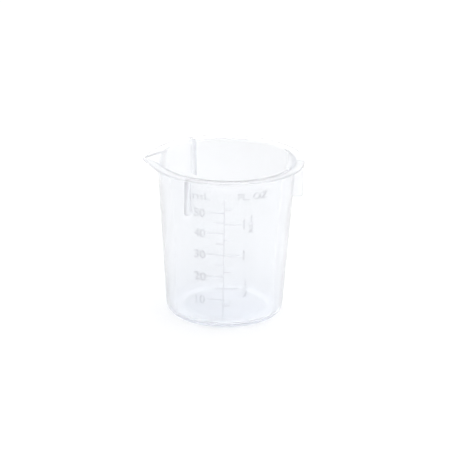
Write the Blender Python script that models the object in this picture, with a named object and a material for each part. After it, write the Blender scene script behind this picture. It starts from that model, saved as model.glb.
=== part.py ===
# A 50 mL graduated beaker, moulded in one shot of natural polypropylene.
# Metres, +Z up. The origin is on the table plane, in the middle of the footprint's box. The spout
# points to -X, the scale faces -Y and one stacking rib points to +X.
#
# The moulding is held as its shell and the features that stand on the shell. Each is one closed
# solid, and SEAM and SCALE_SEAM are the gaps kept where the real plastic runs through.

import math

import bmesh
import bpy

# Cup
HEIGHT = 0.0532  # table plane to the rim's top face
BASE_RADIUS = 0.0196  # outer wall carried down to the table plane
TOP_RADIUS = 0.02306  # outer wall carried up to the rim's top face
WALL = 0.0011
FLOOR = 0.0015  # thickness of the floor over the foot
BASE_CORNER = 0.0027  # outer rounding from the foot into the wall
FOOT_WIDTH = 0.0034  # flat ring that the beaker stands on
RECESS_DEPTH = 0.0009  # how far the floor's middle is domed up
RECESS_STEP = 0.0004  # of which the foot's inner edge takes this much
RECESS_DRAFT = 0.0003  # run of that edge
CROWN_POWER = 1.5  # how the floor's crown levels off towards the corner
GATE_RADIUS = 0.0019  # nub that the moulding gate leaves under the floor
GATE_HEIGHT = 0.0004
GATE_REACH = 1.5  # the hollow's rings start this many gate radii out

# Rim
FLANGE_WIDTH = 0.0028  # out from the wall
FLANGE_THICKNESS = 0.0007
FLANGE_EDGE = 0.0002  # chamfer round the flange
MOUTH_EDGE = 0.00055  # rounding from the inner wall onto the rim

# Spout: a V pinched out of the rim, which fades into the wall below it
SPOUT_OVERHANG = 0.00204  # tip past the flange's circle
SPOUT_LIP = 0.0006  # width of the rim left at the tip
SPOUT_DEPTH = 0.0075
SPOUT_HALF_ANGLE = math.radians(47)
SPOUT_FADE = 2.0
SPOUT_BLEND = 0.0012  # width over which the V runs into the round wall
SPOUT_FILLING = 4.0  # how fast the V's outside gains its full wall as the V opens
TIP_ROUNDING = math.radians(2.5)

# Stacking ribs under the flange
RIB_COUNT = 3
RIB_THICKNESS = 0.0008
RIB_LENGTH = 0.0116
RIB_DRAFT = 0.00025  # how much narrower the rib is at its foot
RIB_CORNER = 0.0009
RIB_EDGE = 0.00018
SEAM = 0.0003

# Scale: millilitres to the left of the line, US fluid ounces to the right
SCALE_SEAM = 0.00015
SCALE_RELIEF = 0.0003
LINE_WIDTH = 0.00042
LINE_BOTTOM = 0.0030
LINE_FREEBOARD = 0.0067  # from the rim down to the line's top
MARK_FREEBOARD = 0.0090  # no mark comes nearer to the rim
MARK_WIDTH = 0.00038
MILLILITRE = 1e-6
FLUID_OUNCE = 29.5735e-6
ML_FIRST, ML_STEP = 10 * MILLILITRE, 5 * MILLILITRE
OZ_FIRST, OZ_STEP = FLUID_OUNCE / 4, FLUID_OUNCE / 4
ML_LONG, ML_SHORT = math.radians(14.9), math.radians(7.5)
OZ_LONG, OZ_SHORT = math.radians(13.9), math.radians(6.4)

# Fineness of the facets
SPOUT_SPREAD = math.radians(32)  # either side of the spout, where the rings are close together
SPOUT_STEPS = 11
ROUND_STEPS = 60
DOME_STEPS = 4
CORNER_STEPS = 4
SPOUT_LEVELS = 6
MOUTH_STEPS = 3
LEVEL_CLOSENESS = 1.6  # above 1 the spout's levels crowd towards the rim
RING_CLOSENESS = 1.4  # above 1 the rings crowd towards the spout
SHARP_ANGLE = math.radians(35)
RIB_SHARP_ANGLE = math.radians(40)
MARK_FACET = math.radians(3.8)

# Worked out from the sizes above
TAPER = (TOP_RADIUS - BASE_RADIUS) / HEIGHT
SLOPE = math.atan(TAPER)
INNER_BASE_RADIUS = BASE_RADIUS - WALL / math.cos(SLOPE)
CORNER_CENTRE = BASE_RADIUS + TAPER * BASE_CORNER - BASE_CORNER / math.cos(SLOPE)
RECESS_RADIUS = CORNER_CENTRE - FOOT_WIDTH
FLANGE_RADIUS = TOP_RADIUS + FLANGE_WIDTH
FLANGE_UNDERSIDE = HEIGHT - FLANGE_THICKNESS
SPOUT_TIP = FLANGE_RADIUS + SPOUT_OVERHANG
AXIS_X = (SPOUT_TIP - FLANGE_RADIUS) / 2  # the cup's axis, so that the footprint's box is centred

POLYPROPYLENE = {"color": (0.90, 0.93, 0.96, 1), "roughness": 0.35, "metallic": 0.0}
RELIEF_POLYPROPYLENE = {"color": (0.82, 0.86, 0.92, 1), "roughness": 0.45, "metallic": 0.0}


def clear_scene():
    for item in list(bpy.data.objects):
        bpy.data.objects.remove(item, do_unlink=True)


def plastic(name, look):
    material = bpy.data.materials.new(name)
    material.use_nodes = True
    shader = material.node_tree.nodes["Principled BSDF"]
    shader.inputs["Base Color"].default_value = look["color"]
    shader.inputs["Roughness"].default_value = look["roughness"]
    shader.inputs["Metallic"].default_value = look["metallic"]
    return material


def mesh_from(name, form, material):
    """A smooth-shaded mesh with its faces turned outwards."""
    bmesh.ops.recalc_face_normals(form, faces=form.faces)
    mesh = bpy.data.meshes.new(name)
    form.to_mesh(mesh)
    form.free()
    mesh.shade_smooth()
    mesh.set_sharp_from_angle(angle=SHARP_ANGLE)
    mesh.materials.append(material)
    return mesh


def place(name, mesh, parent, turn=0.0):
    item = bpy.data.objects.new(name, mesh)
    bpy.context.scene.collection.objects.link(item)
    item.parent = parent
    item.rotation_euler.z = turn
    return item


def outer_radius(z):
    return BASE_RADIUS + TAPER * z


def inner_radius(z):
    return INNER_BASE_RADIUS + TAPER * z


def dome_height(r):
    """Height of the hollow under the floor at a radius."""
    return RECESS_STEP + (RECESS_DEPTH - RECESS_STEP) * (1 - (r / RECESS_RADIUS) ** 2)


def floor_height(r):
    """Height of the floor's upper face, which is crowned from corner to corner."""
    return FLOOR + RECESS_DEPTH * (1 - (r / CORNER_CENTRE) ** 2) ** CROWN_POWER


def beak_radius(angle, tip, half_angle):
    """Radius of a V with its point at the tip, at an angle from the spout's centre line."""
    turn = math.hypot(angle, TIP_ROUNDING) - TIP_ROUNDING
    turn = min(turn, math.pi / 2 - half_angle)
    return tip * math.sin(half_angle) / math.sin(half_angle + turn)


def run_into(a, b, width):
    """The larger of two radii, with a soft change from one to the other."""
    overlap = max(0.0, width - abs(a - b)) / width
    return max(a, b) + overlap**2 * width / 4


def spout_fade(z):
    depth = (HEIGHT - z) / SPOUT_DEPTH
    return max(0.0, 1 - depth) ** SPOUT_FADE


def inner_wall(angle, z):
    round_wall = inner_radius(z)
    push = SPOUT_TIP - SPOUT_LIP - MOUTH_EDGE - inner_radius(HEIGHT)
    tip = round_wall + push * spout_fade(z)
    return run_into(round_wall, beak_radius(angle, tip, SPOUT_HALF_ANGLE), SPOUT_BLEND)


def outer_wall(angle, z):
    """Outer wall, a wall's thickness from the inner one, measured square to the V's sides."""
    round_wall = outer_radius(z)
    push = SPOUT_TIP - SPOUT_LIP - MOUTH_EDGE - inner_radius(HEIGHT)
    side = WALL / math.sin(SPOUT_HALF_ANGLE)
    tip = round_wall - WALL + push * spout_fade(z) + side * min(1.0, SPOUT_FILLING * spout_fade(z))
    return run_into(round_wall, beak_radius(angle, tip, SPOUT_HALF_ANGLE), SPOUT_BLEND)


def flange_radius(angle):
    """The flange's edge: its circle, and the two tangents from the spout's tip."""
    return beak_radius(angle, SPOUT_TIP, math.asin(FLANGE_RADIUS / SPOUT_TIP))


def spout_levels():
    """Heights from the foot of the spout to the flange, closer together near the rim."""
    bottom = HEIGHT - SPOUT_DEPTH
    rise = FLANGE_UNDERSIDE - bottom
    shares = [1 - (1 - i / SPOUT_LEVELS) ** LEVEL_CLOSENESS for i in range(SPOUT_LEVELS + 1)]
    return [bottom + rise * share for share in shares]


def corner(across, up, first, last):
    """Arc about the base corner's centre, between two angles, with its reach across and up."""
    turns = [first + (last - first) * i / CORNER_STEPS for i in range(CORNER_STEPS + 1)]
    return [(CORNER_CENTRE + across * math.cos(a), BASE_CORNER + up * math.sin(a)) for a in turns]


def cup_section(angle):
    """Half section of the shell from under the gate, round the outside, to the inner floor."""
    dome = [RECESS_RADIUS * (i / DOME_STEPS) for i in range(1, DOME_STEPS)]
    underside = [GATE_RADIUS + GATE_HEIGHT] + [r for r in dome if r > GATE_REACH * GATE_RADIUS]
    underside.append(RECESS_RADIUS - RECESS_DRAFT)
    gate_level = dome_height(GATE_RADIUS) - GATE_HEIGHT
    points = [(GATE_RADIUS, gate_level)]
    points += [(r, dome_height(r)) for r in underside]
    points += [(RECESS_RADIUS, 0.0)]
    points += corner(BASE_CORNER, BASE_CORNER, -math.pi / 2, -SLOPE)
    points += [(outer_wall(angle, z), z) for z in spout_levels()]

    edge = flange_radius(angle)
    points += [(edge - FLANGE_EDGE, FLANGE_UNDERSIDE), (edge, FLANGE_UNDERSIDE + FLANGE_EDGE)]
    points += [(edge, HEIGHT - FLANGE_EDGE), (edge - FLANGE_EDGE, HEIGHT)]

    mouth = inner_wall(angle, HEIGHT) + MOUTH_EDGE
    for i in range(MOUTH_STEPS):
        rounding = math.pi / 2 * (1 - i / MOUTH_STEPS)
        drop = MOUTH_EDGE * (1 - math.sin(rounding))
        points.append((mouth - MOUTH_EDGE * math.cos(rounding), HEIGHT - drop))

    points += [(inner_wall(angle, z), z) for z in reversed(spout_levels())]
    points += corner(BASE_CORNER - WALL, BASE_CORNER - FLOOR, -SLOPE, -math.pi / 2)
    crown = [CORNER_CENTRE * (i / DOME_STEPS) for i in range(1, DOME_STEPS)]
    points += [(r, floor_height(r)) for r in reversed(crown)]
    return points


def ring_angles():
    """Angles round the axis from the spout, close together across it."""
    near = [SPOUT_SPREAD * (i / SPOUT_STEPS) ** RING_CLOSENESS for i in range(SPOUT_STEPS)]
    rest = 2 * math.pi - 2 * SPOUT_SPREAD
    far = [SPOUT_SPREAD + rest * i / ROUND_STEPS for i in range(ROUND_STEPS + 1)]
    return near + far + [-a for a in reversed(near[1:])]


def make_vessel(parent):
    """Floor, wall, rim flange and spout: the shell that holds the liquid."""
    form = bmesh.new()
    rings = []
    for angle in ring_angles():
        facing = math.pi + angle
        rings.append([
            form.verts.new((r * math.cos(facing), r * math.sin(facing), z)) for r, z in cup_section(angle)
        ])
    under = form.verts.new((0, 0, dome_height(GATE_RADIUS) - GATE_HEIGHT))
    inside = form.verts.new((0, 0, FLOOR + RECESS_DEPTH))
    for here, there in zip(rings, rings[1:] + rings[:1]):
        form.faces.new((under, here[0], there[0]))
        form.faces.new((inside, there[-1], here[-1]))
        for i in range(len(here) - 1):
            form.faces.new((here[i], here[i + 1], there[i + 1], there[i]))
    mesh = mesh_from("vessel", form, plastic("vessel", POLYPROPYLENE))
    return place("vessel", mesh, parent)


def rib_outline():
    """Side view of a rib as radius and height, with its foot's outer corner rounded."""
    top = FLANGE_UNDERSIDE - SEAM
    foot = top - RIB_LENGTH
    outer = FLANGE_RADIUS - RIB_DRAFT
    points = [(outer_radius(top) + SEAM, top), (outer_radius(foot) + SEAM, foot)]
    for i in range(CORNER_STEPS + 1):
        turn = -math.pi / 2 * (1 - i / CORNER_STEPS)
        r = outer - RIB_CORNER + RIB_CORNER * math.cos(turn)
        points.append((r, foot + RIB_CORNER + RIB_CORNER * math.sin(turn)))
    return points + [(FLANGE_RADIUS, top)]


def make_ribs(parent):
    """Fins under the flange that hold a stacked beaker off this one's rim."""
    form = bmesh.new()
    flat = form.faces.new([form.verts.new((r, -RIB_THICKNESS / 2, z)) for r, z in rib_outline()])
    pulled = bmesh.ops.extrude_face_region(form, geom=[flat])["geom"]
    moved = [v for v in pulled if isinstance(v, bmesh.types.BMVert)]
    bmesh.ops.translate(form, verts=moved, vec=(0, RIB_THICKNESS, 0))
    mesh = mesh_from("stacking_rib", form, plastic("stacking_rib", POLYPROPYLENE))
    ribs = []
    for name, place_in_ring in (("right", 0), ("back", 1), ("front", 2)):
        turn = 2 * math.pi * place_in_ring / RIB_COUNT
        rib = place(f"stacking_rib_{name}", mesh, parent, turn)
        rounding = rib.modifiers.new("edge", "BEVEL")
        rounding.width = RIB_EDGE
        rounding.segments = 1
        rounding.limit_method = "ANGLE"
        rounding.angle_limit = RIB_SHARP_ANGLE
        ribs.append(rib)
    return ribs


def mean_floor():
    """Level floor that would hold as much as the domed one with its rounded corner."""
    crown = math.pi * CORNER_CENTRE**2 * RECESS_DEPTH / (CROWN_POWER + 1)
    inner_corner = BASE_CORNER - WALL
    rounding = 2 * math.pi * CORNER_CENTRE * (1 - math.pi / 4) * inner_corner**2
    return FLOOR + (crown + rounding) / (math.pi * inner_radius(FLOOR) ** 2)


def level_of(volume):
    """Height of the surface when the cup holds this volume, from the wall's cone."""
    start = inner_radius(mean_floor())
    return ((3 * TAPER * volume / math.pi + start**3) ** (1 / 3) - INNER_BASE_RADIUS) / TAPER


def marks(first, step):
    """Every graduation of one scale that keeps clear of the rim, as (place, height)."""
    found = []
    while level_of(first + step * len(found)) < HEIGHT - MARK_FREEBOARD:
        found.append(level_of(first + step * len(found)))
    return list(enumerate(found))


def scale_spans():
    """The line and its marks on the unrolled wall, as (left, right, low, high)."""
    half_line = LINE_WIDTH / 2 / outer_radius(HEIGHT / 2)
    half_mark = MARK_WIDTH / 2
    spans = [(-half_line, half_line, LINE_BOTTOM, HEIGHT - LINE_FREEBOARD)]
    for index, z in marks(ML_FIRST, ML_STEP):
        reach = ML_SHORT if index % 2 else ML_LONG
        spans.append((-reach, -half_line, z - half_mark, z + half_mark))
    for index, z in marks(OZ_FIRST, OZ_STEP):
        reach = OZ_LONG if index % 2 else OZ_SHORT
        spans.append((half_line, reach, z - half_mark, z + half_mark))
    return spans


def with_facets(edges):
    """Column edges, with more between them wherever one column would be too wide a facet."""
    full = [edges[0]]
    for low, high in zip(edges, edges[1:]):
        pieces = math.ceil((high - low) / MARK_FACET)
        full += [low + (high - low) * i / pieces for i in range(1, pieces + 1)]
    return full


def make_scale(parent):
    """The raised line and graduation marks, as the filled cells of a grid laid on the wall."""
    spans = scale_spans()
    columns = with_facets(sorted({edge for span in spans for edge in span[:2]}))
    rows = sorted({edge for span in spans for edge in span[2:]})
    filled = set()
    for i, (left, right) in enumerate(zip(columns, columns[1:])):
        for j, (low, high) in enumerate(zip(rows, rows[1:])):
            across, up = (left + right) / 2, (low + high) / 2
            if any(s[0] < across < s[1] and s[2] < up < s[3] for s in spans):
                filled.add((i, j))

    form = bmesh.new()
    known = {}

    def vertex(i, j, raised):
        key = (i, j, raised)
        if key not in known:
            r = outer_radius(rows[j]) + SCALE_SEAM + raised * SCALE_RELIEF
            known[key] = form.verts.new((r * math.sin(columns[i]), -r * math.cos(columns[i]), rows[j]))
        return known[key]

    for i, j in sorted(filled):
        loop = [(i, j), (i + 1, j), (i + 1, j + 1), (i, j + 1)]
        form.faces.new([vertex(*at, 1) for at in loop])
        form.faces.new([vertex(*at, 0) for at in reversed(loop)])
        beyond = [(i, j - 1), (i + 1, j), (i, j + 1), (i - 1, j)]
        for side, neighbour in enumerate(beyond):
            if neighbour not in filled:
                a, b = loop[side], loop[(side + 1) % 4]
                form.faces.new((vertex(*b, 1), vertex(*a, 1), vertex(*a, 0), vertex(*b, 0)))
    mesh = mesh_from("graduation_scale", form, plastic("graduation_scale", RELIEF_POLYPROPYLENE))
    return place("graduation_scale", mesh, parent)


def main():
    clear_scene()
    beaker = bpy.data.objects.new("beaker", None)
    beaker.location.x = AXIS_X
    bpy.context.scene.collection.objects.link(beaker)
    make_vessel(beaker)
    make_ribs(beaker)
    make_scale(beaker)


main()
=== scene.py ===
import math

import bmesh
import bpy
from mathutils import Matrix, Vector


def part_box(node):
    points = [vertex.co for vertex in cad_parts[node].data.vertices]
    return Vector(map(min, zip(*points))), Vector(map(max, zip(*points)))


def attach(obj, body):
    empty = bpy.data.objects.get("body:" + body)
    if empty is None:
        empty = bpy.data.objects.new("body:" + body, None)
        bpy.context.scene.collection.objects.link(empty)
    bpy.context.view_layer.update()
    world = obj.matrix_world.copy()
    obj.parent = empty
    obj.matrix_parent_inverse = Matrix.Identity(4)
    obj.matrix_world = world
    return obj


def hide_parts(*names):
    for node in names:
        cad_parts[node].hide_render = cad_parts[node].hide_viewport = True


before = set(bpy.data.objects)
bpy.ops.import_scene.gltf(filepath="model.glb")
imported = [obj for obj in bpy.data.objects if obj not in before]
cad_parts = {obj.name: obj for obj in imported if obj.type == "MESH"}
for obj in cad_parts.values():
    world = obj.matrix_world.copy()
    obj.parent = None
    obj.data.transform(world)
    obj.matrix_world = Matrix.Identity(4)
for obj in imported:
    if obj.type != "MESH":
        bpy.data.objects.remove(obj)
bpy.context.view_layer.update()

# what the frame gives: the cup's axis, its height and its rim
cupLow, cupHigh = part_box("vessel")
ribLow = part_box("stacking_rib_right")[0]
scaleLow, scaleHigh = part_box("graduation_scale")
rimRadius = (cupHigh.y - cupLow.y) / 2
axisX = cupHigh.x - rimRadius
spoutTip = axisX - cupLow.x
cupHeight = cupHigh.z

cup = {
    "baseRadius": 0.0196,  # outer wall carried down to the table
    "topRadius": 0.02306,  # outer wall carried up to the rim
    "wall": 0.0011,
    "floor": 0.0015,
    "baseCorner": 0.0027,
    "footWidth": 0.0034,
    "recessDepth": 0.0009,
    "recessStep": 0.0004,  # of which the foot's inner edge takes this much
    "recessEdge": 0.0005,
    "crownPower": 1.5,  # how the floor's crown levels off towards the corner
    "gateRadius": 0.0019,
    "gateHeight": 0.0004,
    "gateRings": (0.0009, 0.0016),  # across the nub's flat
    "gateRounding": 0.00008,
    "gateStep": 0.0001,
    "gateFoot": 0.00025,  # out from the nub, where the hollow begins
    "gateClear": 0.0008,  # out from the nub, first ring of the hollow
    "flangeThickness": 0.0007,
    "flangeEdge": 0.0002,
    "flangeFillet": 0.00035,
    "flangeRings": (2.6, 1.6),  # under the flange, in edge widths from its rim
    "flangeTopRing": 1.8,
    "mouthEdge": 0.00055,
    "mouthRing": 1.25,  # on the rim's top, in mouth edges from the inner wall
    "mouthRingAtSpout": 1.15,
    "footRings": (0.06, 0.5, 0.94),  # across the flat that it stands on
}

# how many pieces each stretch of the section has
fineness = {
    "hollow": 8, "step": 6, "baseCorner": 12, "wall": 15, "spoutOutside": 14, "fillet": 5,
    "flangeEdge": 4, "mouth": 8, "spoutInside": 13, "innerCorner": 10, "floor": 20,
    "turns": 241,  # rings round the axis, seam counted twice
    "closeness": 1.4,  # above 1 the rings crowd towards the spout
    "outsideCrowding": 1.6,  # and so do the levels towards the rim
    "insideCrowding": 1.4,
}

spout = {
    "lip": 0.0006,
    "depth": 0.0075,
    "halfAngle": math.radians(47),
    "fade": 2.0,
    "blend": 0.0016,
    "tipRounding": math.radians(2.5),
    "filling": 4,  # how fast the V's outside gains its full wall
}

taper = (cup["topRadius"] - cup["baseRadius"]) / cupHeight
slope = math.atan(taper)
innerBase = cup["baseRadius"] - cup["wall"] / math.cos(slope)
cornerCentre = cup["baseRadius"] + taper * cup["baseCorner"] - cup["baseCorner"] / math.cos(slope)
recessRadius = cornerCentre - cup["footWidth"]


def outerRadius(z):
    return cup["baseRadius"] + taper * z


def innerRadius(z):
    return innerBase + taper * z


# ---- small helpers for node trees

def addInput(tree, name, kind, value=None):
    socket = tree.interface.new_socket(name, in_out="INPUT", socket_type=kind)
    if value is not None:
        socket.default_value = value
    return socket


def startTree(name):
    tree = bpy.data.node_groups.new(name, "GeometryNodeTree")
    tree.interface.new_socket("Geometry", in_out="OUTPUT", socket_type="NodeSocketGeometry")
    return tree


def node(tree, kind, inputs=None, **settings):
    made = tree.nodes.new(kind)
    for key, value in settings.items():
        setattr(made, key, value)
    for key, value in (inputs or {}).items():
        feed(tree, made.inputs[key], value)
    return made


def feed(tree, socket, value):
    if isinstance(value, bpy.types.NodeSocket):
        tree.links.new(value, socket)
    else:
        socket.default_value = value


def maths(tree, operation, a, b=0.0):
    made = tree.nodes.new("ShaderNodeMath")
    made.operation = operation
    feed(tree, made.inputs[0], a)
    feed(tree, made.inputs[1], b)
    return made.outputs[0]


# runs a tree on an empty mesh and keeps the result as a plain object
def grow(name, tree, values, material):
    holder = bpy.data.objects.new(name, bpy.data.meshes.new(name))
    bpy.context.scene.collection.objects.link(holder)
    modifier = holder.modifiers.new("grow", "NODES")
    modifier.node_group = tree
    for socket in tree.interface.items_tree:
        if socket.in_out == "INPUT" and socket.name in values:
            modifier[socket.identifier] = values[socket.name]
    bpy.context.view_layer.update()
    graph = bpy.context.evaluated_depsgraph_get()
    made = bpy.data.meshes.new_from_object(holder.evaluated_get(graph), depsgraph=graph)
    holder.modifiers.remove(modifier)
    holder.data = made
    made.name = name
    if not made.materials:
        made.materials.append(material)
    return holder


# ---- the cup: a half section turned about the axis, with the spout drawn out of it

def arc(centre, radius, first, last, steps):
    turns = [first + (last - first) * i / steps for i in range(steps + 1)]
    return [(centre[0] + radius * math.cos(a), centre[1] + radius * math.sin(a)) for a in turns]


def domeHeight(r):  # the hollow under the floor, with a soft step at the foot ring
    step = min(1.0, max(0.0, (recessRadius - r) / cup["recessEdge"]))
    rise = (cup["recessDepth"] - cup["recessStep"]) * max(0.0, 1 - (r / recessRadius) ** 2)
    return rise + cup["recessStep"] * step * step * (3 - 2 * step)


def floorHeight(r):  # the floor's upper face, crowned from corner to corner
    return cup["floor"] + cup["recessDepth"] * max(0.0, 1 - (r / cornerCentre) ** 2) ** cup["crownPower"]


def spoutFade(z):
    return max(0.0, 1 - (cupHeight - z) / spout["depth"]) ** spout["fade"]


def innerTip(z):
    push = spoutTip - spout["lip"] - cup["mouthEdge"] - innerRadius(cupHeight)
    return innerRadius(z) + push * spoutFade(z)


def outerTip(z):
    side = cup["wall"] / math.sin(spout["halfAngle"])
    thickness = side * min(1.0, spout["filling"] * spoutFade(z))
    return innerTip(z) - innerRadius(z) + outerRadius(z) - cup["wall"] + thickness


def cupSection():
    points = []  # each is radius, height, the spout tip's radius and the spout's half angle

    def add(r, z, tip=0.0, halfAngle=spout["halfAngle"]):
        points.append((r, z, tip, halfAngle))

    gate = cup["gateRadius"]
    gateLevel = domeHeight(gate) - cup["gateHeight"]
    add(0.0, gateLevel)
    for r in cup["gateRings"]:
        add(r, gateLevel)
    add(gate, gateLevel + cup["gateRounding"])
    add(gate + cup["gateStep"], domeHeight(gate) - cup["gateStep"])
    add(gate + cup["gateFoot"], domeHeight(gate))
    inner, outer = gate + cup["gateClear"], recessRadius - cup["recessEdge"]
    for i in range(fineness["hollow"] + 1):
        r = inner + (outer - inner) * i / fineness["hollow"]
        add(r, domeHeight(r))
    for i in range(1, fineness["step"] + 1):
        r = outer + cup["recessEdge"] * i / fineness["step"]
        add(r, domeHeight(r))
    for share in cup["footRings"]:
        add(recessRadius + cup["footWidth"] * share, 0.0)
    centre = (cornerCentre, cup["baseCorner"])
    for r, z in arc(centre, cup["baseCorner"], -math.pi / 2, -slope, fineness["baseCorner"]):
        add(r, z)

    spoutFoot = cupHeight - spout["depth"]
    underside = cupHeight - cup["flangeThickness"]
    for i in range(1, fineness["wall"] + 1):
        z = cup["baseCorner"] + (spoutFoot - cup["baseCorner"]) * i / fineness["wall"]
        add(outerRadius(z), z)
    filletFoot = underside - cup["flangeFillet"]
    for i in range(1, fineness["spoutOutside"] + 1):
        share = 1 - (1 - i / fineness["spoutOutside"]) ** fineness["outsideCrowding"]
        z = spoutFoot + (filletFoot - spoutFoot) * share
        add(outerRadius(z), z, outerTip(z))
    fillet = cup["flangeFillet"]
    for i in range(1, fineness["fillet"] + 1):
        turn = math.pi / 2 * i / fineness["fillet"]
        r, z = fillet * (1 - math.cos(turn)), filletFoot + fillet * math.sin(turn)
        add(outerRadius(filletFoot) + r, z, outerTip(filletFoot) + r)

    flangeAngle = math.asin(rimRadius / spoutTip)
    edge, bends = cup["flangeEdge"], fineness["flangeEdge"]

    def addFlange(inset, z):  # the V's own formula gives the circle too, away from the spout
        add(0.0, z, spoutTip - inset / math.sin(flangeAngle), flangeAngle)

    for widths in cup["flangeRings"]:
        addFlange(widths * edge, underside)
    for r, z in arc((-edge, underside + edge), edge, -math.pi / 2, 0, bends):
        addFlange(-r, z)
    for r, z in arc((-edge, cupHeight - edge), edge, 0, math.pi / 2, bends):
        addFlange(-r, z)
    addFlange(cup["flangeTopRing"] * edge, cupHeight)

    mouth, mouthWall, mouthTip = cup["mouthEdge"], innerRadius(cupHeight), innerTip(cupHeight)
    add(mouthWall + mouth * cup["mouthRing"], cupHeight, mouthTip + mouth * cup["mouthRingAtSpout"])
    for i in range(fineness["mouth"]):
        turn = math.pi / 2 * (1 - i / fineness["mouth"])
        r, z = mouth * (1 - math.cos(turn)), cupHeight - mouth * (1 - math.sin(turn))
        add(mouthWall + r, z, mouthTip + r)
    mouthFoot = cupHeight - mouth
    for i in range(fineness["spoutInside"] + 1):
        share = (i / fineness["spoutInside"]) ** fineness["insideCrowding"]
        z = mouthFoot - (mouthFoot - spoutFoot) * share
        add(innerRadius(z), z, innerTip(z))
    for i in range(1, fineness["wall"]):
        z = spoutFoot - (spoutFoot - cup["baseCorner"]) * i / fineness["wall"]
        add(innerRadius(z), z)
    across, down = cup["baseCorner"] - cup["wall"], cup["baseCorner"] - cup["floor"]
    for i in range(fineness["innerCorner"] + 1):
        turn = -slope - (math.pi / 2 - slope) * i / fineness["innerCorner"]
        add(cornerCentre + across * math.cos(turn), cup["baseCorner"] + down * math.sin(turn))
    for i in range(1, fineness["floor"] + 1):
        r = cornerCentre * (1 - i / fineness["floor"])
        add(r, floorHeight(r))
    return points


# the half section as loose points, each with its own spout values
def sectionObject():
    points = cupSection()
    mesh = bpy.data.meshes.new("cupSection")
    mesh.from_pydata([(r, 0, z) for r, z, tip, halfAngle in points], [], [])
    for name, place in (("spoutTip", 2), ("halfAngle", 3)):
        held = mesh.attributes.new(name, "FLOAT", "POINT")
        held.data.foreach_set("value", [point[place] for point in points])
    section = bpy.data.objects.new("cupSection", mesh)
    bpy.context.scene.collection.objects.link(section)
    return section, len(points)


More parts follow.
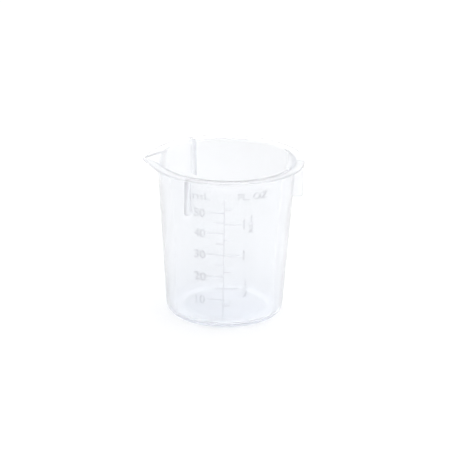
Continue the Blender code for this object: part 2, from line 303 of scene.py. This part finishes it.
# a grid of section points by turns, wrapped round the axis; near the spout each ring follows a V
def turnedCupTree():
    tree = startTree("turnedCup")
    addInput(tree, "Section", "NodeSocketObject")
    addInput(tree, "Section Points", "NodeSocketInt", 100)
    addInput(tree, "Turns", "NodeSocketInt", 241)
    addInput(tree, "Axis X", "NodeSocketFloat")
    addInput(tree, "Spout Blend", "NodeSocketFloat", 0.001)
    addInput(tree, "Tip Rounding", "NodeSocketFloat", 0.04)
    addInput(tree, "Closeness", "NodeSocketFloat", 1.4)
    addInput(tree, "Material", "NodeSocketMaterial")
    given = tree.nodes.new("NodeGroupInput").outputs

    section = node(tree, "GeometryNodeObjectInfo", {"Object": given["Section"]}).outputs["Geometry"]
    grid = node(tree, "GeometryNodeMeshGrid", {
        "Size X": 1.0, "Size Y": 1.0,
        "Vertices X": given["Turns"], "Vertices Y": given["Section Points"],
    }).outputs["Mesh"]
    index = node(tree, "GeometryNodeInputIndex").outputs[0]
    ring = maths(tree, "FLOOR", maths(tree, "DIVIDE", index, given["Section Points"]))
    along = maths(tree, "SUBTRACT", index, maths(tree, "MULTIPLY", ring, given["Section Points"]))

    def sampled(kind, value):
        made = node(tree, "GeometryNodeSampleIndex", {"Geometry": section}, data_type=kind, domain="POINT")
        feed(tree, made.inputs["Value"], value)
        feed(tree, made.inputs["Index"], along)
        return made.outputs[0]

    def held(name):
        made = node(tree, "GeometryNodeInputNamedAttribute", {"Name": name}, data_type="FLOAT")
        return sampled("FLOAT", made.outputs[0])

    place = sampled("FLOAT_VECTOR", node(tree, "GeometryNodeInputPosition").outputs[0])
    parts = node(tree, "ShaderNodeSeparateXYZ", {"Vector": place}).outputs
    radius, height = parts["X"], parts["Z"]

    # turn from the spout, -pi to pi, with the rings closer together near it
    steps = maths(tree, "SUBTRACT", given["Turns"], 1.0)
    share = maths(tree, "SUBTRACT", maths(tree, "MULTIPLY", maths(tree, "DIVIDE", ring, steps), 2.0), 1.0)
    size = maths(tree, "POWER", maths(tree, "ABSOLUTE", share), given["Closeness"])
    turn = maths(tree, "MULTIPLY", maths(tree, "MULTIPLY", size, math.pi), maths(tree, "SIGN", share))

    # the V's radius at this turn
    half, tip = held("halfAngle"), held("spoutTip")
    square = maths(tree, "ADD", maths(tree, "POWER", maths(tree, "ABSOLUTE", turn), 2.0),
                   maths(tree, "POWER", given["Tip Rounding"], 2.0))
    off = maths(tree, "SUBTRACT", maths(tree, "SQRT", square), given["Tip Rounding"])
    off = maths(tree, "MINIMUM", off, maths(tree, "SUBTRACT", math.pi / 2, half))
    beak = maths(tree, "DIVIDE", maths(tree, "MULTIPLY", tip, maths(tree, "SINE", half)),
                 maths(tree, "SINE", maths(tree, "ADD", half, off)))

    # the larger of the two, with a soft change from one to the other
    gap = maths(tree, "ABSOLUTE", maths(tree, "SUBTRACT", radius, beak))
    overlap = maths(tree, "MAXIMUM", maths(tree, "SUBTRACT", given["Spout Blend"], gap), 0.0)
    overlap = maths(tree, "DIVIDE", maths(tree, "MULTIPLY", overlap, overlap), given["Spout Blend"])
    reach = maths(tree, "ADD", maths(tree, "MAXIMUM", radius, beak), maths(tree, "MULTIPLY", overlap, 0.25))

    x = maths(tree, "SUBTRACT", given["Axis X"], maths(tree, "MULTIPLY", reach, maths(tree, "COSINE", turn)))
    y = maths(tree, "MULTIPLY", maths(tree, "MULTIPLY", reach, maths(tree, "SINE", turn)), -1.0)
    there = node(tree, "ShaderNodeCombineXYZ", {"X": x, "Y": y, "Z": height}).outputs[0]
    moved = node(tree, "GeometryNodeSetPosition", {"Geometry": grid, "Position": there}).outputs[0]
    closed = node(tree, "GeometryNodeMergeByDistance", {"Geometry": moved, "Distance": 2e-6}).outputs[0]
    smooth = node(tree, "GeometryNodeSetShadeSmooth", {"Geometry": closed}).outputs[0]
    real = node(tree, "GeometryNodeRealizeInstances", {"Geometry": smooth}).outputs[0]
    done = node(tree, "GeometryNodeSetMaterial", {"Geometry": real, "Material": given["Material"]}).outputs[0]
    tree.links.new(done, tree.nodes.new("NodeGroupOutput").inputs[0])
    return tree


# welds the mesh and turns its faces out
def outwards(piece):
    form = bmesh.new()
    form.from_mesh(piece.data)
    bmesh.ops.remove_doubles(form, verts=form.verts, dist=1e-6)
    bmesh.ops.dissolve_degenerate(form, edges=form.edges, dist=1e-7)
    bmesh.ops.recalc_face_normals(form, faces=form.faces)
    form.to_mesh(piece.data)
    form.free()


def buildCup(material):
    section, count = sectionObject()
    made = grow("cup", turnedCupTree(), {
        "Section": section, "Section Points": count, "Turns": fineness["turns"], "Axis X": axisX,
        "Spout Blend": spout["blend"], "Tip Rounding": spout["tipRounding"],
        "Closeness": fineness["closeness"],
        "Material": material,
    }, material)
    bpy.data.objects.remove(section)
    outwards(made)
    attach(made, "root")
    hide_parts("vessel")
    return made


# ---- stacking ribs

rib = {
    "count": 3,
    "thickness": 0.0008,
    "sunk": 0.00025,  # into the wall and the flange
    "draft": 0.00025,
    "corner": 0.0009,
    "edge": 0.00016,
    "edgeSegments": 3,
    "sharp": math.radians(40),  # edges that turn by more than this are rounded
    "cornerSteps": 6,
}


# one fin in the XZ plane, thickness along Y, its back sunk in the wall
def ribBlank():
    top = cupHeight - cup["flangeThickness"] + rib["sunk"]
    foot = ribLow.z
    outer = rimRadius - rib["draft"]
    points = [(outerRadius(top) - rib["sunk"], top), (outerRadius(foot) - rib["sunk"], foot)]
    corner = (outer - rib["corner"], foot + rib["corner"])
    points += arc(corner, rib["corner"], -math.pi / 2, 0, rib["cornerSteps"])
    points += [(rimRadius - cup["flangeEdge"], top)]
    form = bmesh.new()
    flat = form.faces.new([form.verts.new((r, -rib["thickness"] / 2, z)) for r, z in points])
    pulled = bmesh.ops.extrude_face_region(form, geom=[flat])["geom"]
    bmesh.ops.translate(form, verts=[v for v in pulled if isinstance(v, bmesh.types.BMVert)],
                        vec=(0, rib["thickness"], 0))
    bmesh.ops.recalc_face_normals(form, faces=form.faces)
    sharp = [e for e in form.edges if e.calc_face_angle(0) > rib["sharp"]]
    bmesh.ops.bevel(form, geom=sharp, offset=rib["edge"], segments=rib["edgeSegments"],
                    profile=0.5, affect="EDGES")
    mesh = bpy.data.meshes.new("ribBlank")
    form.to_mesh(mesh)
    form.free()
    mesh.shade_smooth()
    blank = bpy.data.objects.new("ribBlank", mesh)
    bpy.context.scene.collection.objects.link(blank)
    return blank


# copies of the blank, evenly spaced round the cup's axis
def ribRingTree():
    tree = startTree("ribRing")
    addInput(tree, "Blank", "NodeSocketObject")
    addInput(tree, "Count", "NodeSocketInt", 3)
    addInput(tree, "Axis X", "NodeSocketFloat")
    addInput(tree, "Material", "NodeSocketMaterial")
    given = tree.nodes.new("NodeGroupInput").outputs
    blank = node(tree, "GeometryNodeObjectInfo", {"Object": given["Blank"]}).outputs["Geometry"]
    middle = node(tree, "ShaderNodeCombineXYZ", {"X": given["Axis X"]}).outputs[0]
    points = node(tree, "GeometryNodePoints", {"Count": given["Count"], "Position": middle}).outputs[0]
    index = node(tree, "GeometryNodeInputIndex").outputs[0]
    turn = maths(tree, "MULTIPLY", maths(tree, "DIVIDE", index, given["Count"]), 2 * math.pi)
    turned = node(tree, "ShaderNodeCombineXYZ", {"Z": turn}).outputs[0]
    copies = node(tree, "GeometryNodeInstanceOnPoints", {"Points": points, "Instance": blank}).outputs[0]
    set_ = node(tree, "GeometryNodeRotateInstances", {
        "Instances": copies, "Rotation": turned, "Pivot Point": (0, 0, 0)}).outputs[0]
    real = node(tree, "GeometryNodeRealizeInstances", {"Geometry": set_}).outputs[0]
    done = node(tree, "GeometryNodeSetMaterial", {"Geometry": real, "Material": given["Material"]}).outputs[0]
    tree.links.new(done, tree.nodes.new("NodeGroupOutput").inputs[0])
    return tree


def buildRibs(material):
    blank = ribBlank()
    made = grow("stackingRibs", ribRingTree(), {
        "Blank": blank, "Count": rib["count"], "Axis X": axisX, "Material": material,
    }, material)
    bpy.data.objects.remove(blank)
    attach(made, "root")
    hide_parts("stacking_rib_right", "stacking_rib_back", "stacking_rib_front")
    return made


# ---- raised scale: worked out flat, with x along the wall, y out of it and z up, then wrapped on the cone

scale = {
    "relief": 0.00013,
    "sunk": 0.00012,
    "lineWidth": 0.00042,
    "lineBottom": scaleLow.z,
    "lineTop": scaleHigh.z,
    "markWidth": 0.00038,
    "bevel": 0.00006,  # how far the sides of a raised line slope in
    "mlCount": 9, "mlFirst": 10e-6, "mlStep": 5e-6,  # cubic metres
    "mlLong": math.radians(14.9), "mlShort": math.radians(7.5),
    "ozCount": 7, "ozFirst": 29.5735e-6 / 4, "ozStep": 29.5735e-6 / 4,
    "ozLong": math.radians(13.9), "ozShort": math.radians(6.4),
    "wrapRadius": outerRadius(cupHeight / 2),
    "slice": 0.0006,  # widest strip of a numeral that stays flat
    "markPieces": 8,
}

# sizes of the characters, and how far round from the line their middles stand
numerals = {
    "height": 0.0030,
    "fractionHeight": 0.0026,
    "wholeHeight": 0.0033,
    "unitHeight": 0.0024,
    "unitLevel": 0.0475,
    "gap": math.radians(0.9),  # from a long mark to its number
    "halfWidth": 0.75,  # half a two-figure number, for its height
    "drop": 0.0004,  # how far the numbers sit under their marks
    "oneTurn": math.radians(17.8),
    "oneOfMoreTurn": math.radians(16.9),
    "halfTurn": math.radians(20.4),
    "halfOfMoreTurn": math.radians(23.4),
    "fractionSpread": 0.68,  # of its height, from the bar to the middle of each figure
    "fractionReach": math.radians(2.6),
    "fractionBar": 0.00016,
    "mlTurn": math.radians(-19.4), "mlWidth": 1.45,
    "ozTurn": math.radians(24.0), "ozWidth": 1.05,
}


def meanFloor():
    crown = math.pi * cornerCentre**2 * cup["recessDepth"] / (cup["crownPower"] + 1)
    rounding = 2 * math.pi * cornerCentre * (1 - math.pi / 4) * (cup["baseCorner"] - cup["wall"])**2
    return cup["floor"] + (crown + rounding) / (math.pi * innerRadius(cup["floor"])**2)


def levelOf(volume):
    start = innerRadius(meanFloor())
    return ((3 * taper * volume / math.pi + start**3)**(1 / 3) - innerBase) / taper


# a moulded bar: flat outer face, sloping sides, cut into pieces so that it bends with the wall
def bar(form, left, right, low, high, pieces):
    rings = []
    for i in range(pieces + 1):
        x = left + (right - left) * i / pieces
        rings.append([form.verts.new(spot) for spot in (
            (x, -scale["sunk"], low), (x, scale["relief"], low + scale["bevel"]),
            (x, scale["relief"], high - scale["bevel"]), (x, -scale["sunk"], high))])
    for here, there in zip(rings, rings[1:]):
        for i in range(4):
            form.faces.new((here[i], there[i], there[(i + 1) % 4], here[(i + 1) % 4]))
    form.faces.new(rings[0][::-1])
    form.faces.new(rings[-1])


def plainObject(name, form):
    bmesh.ops.recalc_face_normals(form, faces=form.faces)
    mesh = bpy.data.meshes.new(name)
    form.to_mesh(mesh)
    form.free()
    made = bpy.data.objects.new(name, mesh)
    bpy.context.scene.collection.objects.link(made)
    return made


# a mark one metre long in x, which the tree shortens
def markBlank():
    form = bmesh.new()
    half = scale["markWidth"] / 2
    bar(form, 0.0, 1.0, -half, half, scale["markPieces"])
    return plainObject("markBlank", form)


# adds raised text to the flat sheet, its middle at a turn from the line and a height up the wall
def lettering(form, text, height, turn, z, squeeze=1.0):
    curve = bpy.data.curves.new("lettering", "FONT")
    curve.body = text
    curve.size = 1.0
    curve.extrude = 0.5
    curve.resolution_u = 4
    holder = bpy.data.objects.new("lettering", curve)
    bpy.context.scene.collection.objects.link(holder)
    bpy.context.view_layer.update()
    graph = bpy.context.evaluated_depsgraph_get()
    mesh = bpy.data.meshes.new_from_object(holder.evaluated_get(graph), depsgraph=graph)
    bpy.data.objects.remove(holder)
    xs, ys = [v.co.x for v in mesh.vertices], [v.co.y for v in mesh.vertices]
    size = height / (max(ys) - min(ys))
    middleX, middleY = (max(xs) + min(xs)) / 2, (max(ys) + min(ys)) / 2
    wide = size * squeeze * scale["wrapRadius"] / outerRadius(z)
    thick = scale["relief"] + scale["sunk"]
    for v in mesh.vertices:
        v.co = Vector(((v.co.x - middleX) * wide + turn * scale["wrapRadius"],
                       v.co.z * thick + (scale["relief"] - scale["sunk"]) / 2,
                       (v.co.y - middleY) * size + z))
    form.from_mesh(mesh)
    bpy.data.meshes.remove(mesh)


# a half: one figure over another, with a bar between them
def fractionHalf(form, turn, z):
    height, thick = numerals["fractionHeight"], numerals["fractionBar"]
    spread = height * numerals["fractionSpread"]
    lettering(form, "1", height, turn, z + spread)
    lettering(form, "2", height, turn, z - spread)
    across, reach = turn * scale["wrapRadius"], numerals["fractionReach"] * scale["wrapRadius"]
    bar(form, across - reach, across + reach, z - thick, z + thick, 3)


# numbers beside the long marks and the units over them
def flatNumerals():
    form = bmesh.new()
    height, whole = numerals["height"], numerals["wholeHeight"]
    for tens in range(1, 6):
        z = levelOf(tens * 2 * scale["mlStep"])
        half = height * numerals["halfWidth"] / outerRadius(z)
        turn = -scale["mlLong"] - numerals["gap"] - half
        lettering(form, f"{tens}0", height, turn, z - numerals["drop"])
    half, full, more = (levelOf(count * scale["ozStep"]) for count in (2, 4, 6))
    lettering(form, "1", whole, numerals["oneTurn"], full)
    lettering(form, "1", whole, numerals["oneOfMoreTurn"], more)
    fractionHalf(form, numerals["halfTurn"], half)
    fractionHalf(form, numerals["halfOfMoreTurn"], more)
    for text, side in (("mL", "ml"), ("FL. OZ", "oz")):
        lettering(form, text, numerals["unitHeight"], numerals[side + "Turn"],
                  numerals["unitLevel"], numerals[side + "Width"])
    bmesh.ops.remove_doubles(form, verts=form.verts, dist=1e-7)
    left, right = min(v.co.x for v in form.verts), max(v.co.x for v in form.verts)
    for i in range(1, int((right - left) / scale["slice"])):
        everything = form.verts[:] + form.edges[:] + form.faces[:]
        bmesh.ops.bisect_plane(form, geom=everything, dist=1e-8, plane_no=(1, 0, 0),
                               plane_co=(left + i * scale["slice"], 0, 0))
    return plainObject("flatNumerals", form)


def flatLine():
    form = bmesh.new()
    bar(form, -scale["lineWidth"] / 2, scale["lineWidth"] / 2, scale["lineBottom"], scale["lineTop"], 1)
    return plainObject("flatLine", form)


# one side's marks: each stands where the cup holds its volume, and every second one is long
def marksUpTheWall(tree, given, unit, side):
    points = node(tree, "GeometryNodePoints", {"Count": given[unit + " Count"]}).outputs[0]
    index = node(tree, "GeometryNodeInputIndex").outputs[0]
    volume = maths(tree, "ADD", given[unit + " First"], maths(tree, "MULTIPLY", index, given[unit + " Step"]))
    start = maths(tree, "POWER", given["Floor Radius"], 3.0)
    coneShare = maths(tree, "MULTIPLY", given["Taper"], 3 / math.pi)
    cubed = maths(tree, "ADD", maths(tree, "MULTIPLY", volume, coneShare), start)
    radius = maths(tree, "POWER", cubed, 1 / 3)
    level = maths(tree, "DIVIDE", maths(tree, "SUBTRACT", radius, given["Inner Base"]), given["Taper"])
    place = node(tree, "ShaderNodeCombineXYZ", {"Z": level}).outputs[0]
    set_ = node(tree, "GeometryNodeSetPosition", {"Geometry": points, "Position": place}).outputs[0]
    odd = maths(tree, "MODULO", maths(tree, "ADD", index, given[unit + " Long First"]), 2.0)
    extra = maths(tree, "SUBTRACT", given[unit + " Long"], given[unit + " Short"])
    reach = maths(tree, "ADD", given[unit + " Short"], maths(tree, "MULTIPLY", odd, extra))
    length = maths(tree, "MULTIPLY", maths(tree, "MULTIPLY", reach, given["Wrap Radius"]), side)
    size = node(tree, "ShaderNodeCombineXYZ", {"X": length, "Y": 1.0, "Z": 1.0}).outputs[0]
    blank = node(tree, "GeometryNodeObjectInfo", {"Object": given["Mark"]}).outputs["Geometry"]
    return node(tree, "GeometryNodeInstanceOnPoints", {
        "Points": set_, "Instance": blank, "Scale": size}).outputs[0]


def scaleTree():
    tree = startTree("raisedScale")
    for name in ("Mark", "Line", "Numerals"):
        addInput(tree, name, "NodeSocketObject")
    for unit in ("mL", "Oz"):
        addInput(tree, unit + " Count", "NodeSocketInt", 9)
        addInput(tree, unit + " Long First", "NodeSocketInt", 1)
        for name in (" First", " Step", " Long", " Short"):
            addInput(tree, unit + name, "NodeSocketFloat")
    for name in ("Taper", "Inner Base", "Outer Base", "Floor Radius", "Wrap Radius", "Axis X"):
        addInput(tree, name, "NodeSocketFloat")
    addInput(tree, "Material", "NodeSocketMaterial")
    given = tree.nodes.new("NodeGroupInput").outputs

    joined = tree.nodes.new("GeometryNodeJoinGeometry")
    for name in ("Line", "Numerals"):
        shape = node(tree, "GeometryNodeObjectInfo", {"Object": given[name]}).outputs["Geometry"]
        tree.links.new(shape, joined.inputs[0])
    tree.links.new(marksUpTheWall(tree, given, "mL", -1.0), joined.inputs[0])
    tree.links.new(marksUpTheWall(tree, given, "Oz", 1.0), joined.inputs[0])
    real = node(tree, "GeometryNodeRealizeInstances", {"Geometry": joined.outputs[0]}).outputs[0]

    # the flat sheet wrapped on the wall's cone
    spot = node(tree, "GeometryNodeInputPosition").outputs[0]
    parts = node(tree, "ShaderNodeSeparateXYZ", {"Vector": spot}).outputs
    wall = maths(tree, "ADD", given["Outer Base"], maths(tree, "MULTIPLY", given["Taper"], parts["Z"]))
    reach = maths(tree, "ADD", wall, parts["Y"])
    turn = maths(tree, "DIVIDE", parts["X"], given["Wrap Radius"])
    x = maths(tree, "ADD", given["Axis X"], maths(tree, "MULTIPLY", reach, maths(tree, "SINE", turn)))
    y = maths(tree, "MULTIPLY", maths(tree, "MULTIPLY", reach, maths(tree, "COSINE", turn)), -1.0)
    there = node(tree, "ShaderNodeCombineXYZ", {"X": x, "Y": y, "Z": parts["Z"]}).outputs[0]
    moved = node(tree, "GeometryNodeSetPosition", {"Geometry": real, "Position": there}).outputs[0]
    done = node(tree, "GeometryNodeSetMaterial", {"Geometry": moved, "Material": given["Material"]}).outputs[0]
    tree.links.new(done, tree.nodes.new("NodeGroupOutput").inputs[0])
    return tree


def buildScale(material):
    helpers = [markBlank(), flatLine(), flatNumerals()]
    made = grow("raisedScale", scaleTree(), {
        "Mark": helpers[0], "Line": helpers[1], "Numerals": helpers[2],
        "mL Count": scale["mlCount"], "mL First": scale["mlFirst"], "mL Step": scale["mlStep"],
        "mL Long First": 1, "mL Long": scale["mlLong"], "mL Short": scale["mlShort"],
        "Oz Count": scale["ozCount"], "Oz First": scale["ozFirst"], "Oz Step": scale["ozStep"],
        "Oz Long First": 0, "Oz Long": scale["ozLong"], "Oz Short": scale["ozShort"],
        "Taper": taper, "Inner Base": innerBase, "Outer Base": cup["baseRadius"],
        "Floor Radius": innerRadius(meanFloor()), "Wrap Radius": scale["wrapRadius"], "Axis X": axisX,
        "Material": material,
    }, material)
    for helper in helpers:
        bpy.data.objects.remove(helper)
    outwards(made)
    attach(made, "root")
    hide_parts("graduation_scale")
    return made


# ---- materials

plastic = {
    "color": (0.98, 0.986, 0.998),
    "paintedShadeColor": (0.932, 0.942, 0.962),  # painted shade: the colour darkens towards the bottom
    "paintedShadeTop": 0.024,  # height at which the painted shade has faded out
    "roughness": 0.145,
    "roughnessSpread": 0.035,
    "transmission": 0.75,
    "bend": 1.39,
    "grain": 0.00009,  # size of the moulded skin's texture
    "grainDepth": 0.0000016,
    "flow": 0.004,  # size of the slow waves that the melt leaves
    "flowDepth": 0.000012,
    "depthColor": (0.25, 0.4, 0.8),  # what deep plastic turns towards
    "depth": 2.5,
    "lampColor": (0.83, 0.84, 0.86),  # how lamps shine through it
}
# the raised marks take a darker copy of the cup's plastic: painted shade standing in for the shading round the
# relief, which is the same plastic as the cup
marksPlasticWithPaintedShade = {
    **plastic,
    "color": (0.968, 0.975, 0.988),
    "paintedShadeColor": (0.922, 0.934, 0.957),
    "roughness": 0.17,
}


# the inputs of the skin and its painted shade, with the value of a plastic that each takes
skinAndShadeInputs = {
    "Color": "color", "Low Painted Shade Color": "paintedShadeColor", "Painted Shade Top": "paintedShadeTop",
    "Roughness": "roughness", "Roughness Spread": "roughnessSpread",
    "Grain Size": "grain", "Grain Depth": "grainDepth", "Flow Size": "flow", "Flow Depth": "flowDepth",
}


# moulded skin and painted shade: colour darker towards the bottom as painted shade, fine grain and slow flow
# waves, in one group for every plastic here
def skinAndShadeGroup():
    group = bpy.data.node_groups.new("mouldedSkinAndPaintedShade", "ShaderNodeTree")
    for name in skinAndShadeInputs:
        addInput(group, name, "NodeSocketColor" if "Color" in name else "NodeSocketFloat")
    for name in ("Color", "Roughness", "Height"):
        kind = "NodeSocketColor" if name == "Color" else "NodeSocketFloat"
        group.interface.new_socket(name, in_out="OUTPUT", socket_type=kind)
    given = group.nodes.new("NodeGroupInput").outputs
    done = group.nodes.new("NodeGroupOutput").inputs
    spot = node(group, "ShaderNodeTexCoord").outputs["Object"]
    height = node(group, "ShaderNodeSeparateXYZ", {"Vector": spot}).outputs["Z"]

    # painted shade: the colour goes from the darker low colour at the bottom to the plain colour at the
    # painted shade's top height
    rise = node(group, "ShaderNodeMapRange", {"Value": height, "From Min": 0.0, "From Max": given["Painted Shade Top"]},
                interpolation_type="SMOOTHSTEP").outputs[0]
    paintedShadeMix = node(group, "ShaderNodeMix", data_type="RGBA")
    feed(group, paintedShadeMix.inputs[0], rise)
    feed(group, paintedShadeMix.inputs[6], given["Low Painted Shade Color"])
    feed(group, paintedShadeMix.inputs[7], given["Color"])
    group.links.new(paintedShadeMix.outputs[2], done["Color"])

    def noise(size, detail):
        scaled = maths(group, "DIVIDE", 1.0, size)
        return node(group, "ShaderNodeTexNoise", {
            "Vector": spot, "Scale": scaled, "Detail": detail, "Roughness": 0.55}).outputs[0]

    grain, flow = noise(given["Grain Size"], 2.0), noise(given["Flow Size"], 1.0)
    spread = maths(group, "MULTIPLY", maths(group, "SUBTRACT", flow, 0.5), given["Roughness Spread"])
    group.links.new(maths(group, "ADD", given["Roughness"], spread), done["Roughness"])
    bumps = maths(group, "ADD", maths(group, "MULTIPLY", grain, given["Grain Depth"]),
                  maths(group, "MULTIPLY", flow, given["Flow Depth"]))
    group.links.new(bumps, done["Height"])
    return group


# natural polypropylene: a milky clear body under a satin moulded skin, which lets lamps through; its colour
# carries painted shade, darker towards the bottom
def clearPlastic(name, values, skin):
    material = bpy.data.materials.new(name)
    material.use_nodes = True
    tree = material.node_tree
    look = node(tree, "ShaderNodeGroup", node_tree=skin)
    for socket, key in skinAndShadeInputs.items():
        value = values[key]
        look.inputs[socket].default_value = (*value, 1) if "Color" in socket else value
    bump = node(tree, "ShaderNodeBump", {
        "Height": look.outputs["Height"], "Strength": 1.0, "Distance": 1.0})
    shader = tree.nodes["Principled BSDF"]
    # the base colour carries the painted shade, darker towards the bottom
    feed(tree, shader.inputs["Base Color"], look.outputs["Color"])
    feed(tree, shader.inputs["Roughness"], look.outputs["Roughness"])
    feed(tree, shader.inputs["Normal"], bump.outputs[0])
    shader.inputs["Transmission Weight"].default_value = values["transmission"]
    shader.inputs["IOR"].default_value = values["bend"]
    lamps = node(tree, "ShaderNodeBsdfTransparent", {"Color": (*values["lampColor"], 1)})
    path = node(tree, "ShaderNodeLightPath")
    both = tree.nodes.new("ShaderNodeMixShader")
    feed(tree, both.inputs[0], path.outputs["Is Shadow Ray"])
    feed(tree, both.inputs[1], shader.outputs[0])
    feed(tree, both.inputs[2], lamps.outputs[0])
    output = tree.nodes["Material Output"]
    feed(tree, output.inputs["Surface"], both.outputs[0])
    depth = node(tree, "ShaderNodeVolumeAbsorption", {
        "Color": (*values["depthColor"], 1), "Density": values["depth"]})
    feed(tree, output.inputs["Volume"], depth.outputs[0])
    return material


# ---- camera, light and floor

view = {
    "distance": 0.6525,  # from the cup's axis, along the table
    "height": 0.272,
    "turn": math.radians(1.2),  # camera's azimuth about the cup
    "pitch": math.radians(20.37),  # down from level
    "yaw": math.radians(-0.02),
    "roll": math.radians(0.92),
    "lens": 165.9,
    "film": 36,  # millimetres across
    "near": 0.01, "far": 50,
}

stage = {
    "middle": 0.9,
    "back": 0.3,
    "right": 0.22,
    "top": 0.25,
    "least": 0.45,
    "most": 1.1,
    "floorColor": (0.85, 0.85, 0.85, 1),
    "floorGlow": 0.22,  # keeps the sheet behind the cup at paper white
    "floorReach": 6,  # half its side
    "bounces": 24,  # fewer leave the stacked clear walls dark
    "bounceKinds": ("max_bounces", "transmission_bounces", "glossy_bounces", "diffuse_bounces",
                   "transparent_max_bounces"),
}


def placeCamera():
    forward = Vector((math.sin(view["yaw"]) * math.cos(view["pitch"]),
                      math.cos(view["yaw"]) * math.cos(view["pitch"]), -math.sin(view["pitch"])))
    level = forward.cross(Vector((0, 0, 1))).normalized()
    up = level.cross(forward)
    right = math.cos(view["roll"]) * level + math.sin(view["roll"]) * up
    top = math.cos(view["roll"]) * up - math.sin(view["roll"]) * level
    turned = Matrix((right, top, -forward)).transposed().to_4x4()
    turned.translation = Vector((0, -view["distance"], view["height"]))
    lens = bpy.data.cameras.new("camera")
    lens.lens = view["lens"]
    lens.sensor_width = view["film"]
    lens.clip_start, lens.clip_end = view["near"], view["far"]
    camera = bpy.data.objects.new("camera", lens)
    bpy.context.scene.collection.objects.link(camera)
    camera.matrix_world = Matrix.Translation((axisX, 0, 0)) @ Matrix.Rotation(view["turn"], 4, "Z") @ turned
    bpy.context.scene.camera = camera


def buildStage():
    world = bpy.data.worlds.new("studio")
    world.use_nodes = True
    tree = world.node_tree
    background = tree.nodes["Background"]
    background.inputs["Color"].default_value = (1, 1, 1, 1)
    spot = node(tree, "ShaderNodeTexCoord").outputs["Generated"]
    parts = node(tree, "ShaderNodeSeparateXYZ", {"Vector": spot}).outputs
    back = maths(tree, "MULTIPLY", parts["Y"], stage["back"])
    right = maths(tree, "MULTIPLY", parts["X"], stage["right"])
    over = maths(tree, "MULTIPLY", parts["Z"], stage["top"])
    level = maths(tree, "ADD", maths(tree, "ADD", back, right), maths(tree, "ADD", over, stage["middle"]))
    level = maths(tree, "MINIMUM", maths(tree, "MAXIMUM", level, stage["least"]), stage["most"])
    tree.links.new(level, background.inputs["Strength"])
    bpy.context.scene.world = world

    form = bmesh.new()
    bmesh.ops.create_grid(form, x_segments=1, y_segments=1, size=stage["floorReach"])
    mesh = bpy.data.meshes.new("floor")
    form.to_mesh(mesh)
    form.free()
    floor = bpy.data.objects.new("floor", mesh)
    bpy.context.scene.collection.objects.link(floor)
    white = bpy.data.materials.new("floorWhite")
    white.use_nodes = True
    shader = white.node_tree.nodes["Principled BSDF"]
    shader.inputs["Base Color"].default_value = stage["floorColor"]
    shader.inputs["Roughness"].default_value = 1
    shader.inputs["Specular IOR Level"].default_value = 0
    shader.inputs["Emission Color"].default_value = (1, 1, 1, 1)
    shader.inputs["Emission Strength"].default_value = stage["floorGlow"]
    mesh.materials.append(white)


bpy.context.scene.view_settings.view_transform = "Standard"
for kind in stage["bounceKinds"]:
    setattr(bpy.context.scene.cycles, kind, stage["bounces"])
placeCamera()
buildStage()
print("camera, light and floor placed")
skin = skinAndShadeGroup()
polypropylene = clearPlastic("naturalPolypropylene", plastic, skin)
# the marks' plastic is painted darker than the cup as painted shade
relief = clearPlastic("raisedPolypropyleneWithPaintedShade", marksPlasticWithPaintedShade, skin)
print("plastics mixed")
print("cup turned:", len(buildCup(polypropylene).data.vertices), "points")
print("stacking ribs set:", len(buildRibs(polypropylene).data.vertices), "points")
print("scale raised:", len(buildScale(relief).data.vertices), "points")
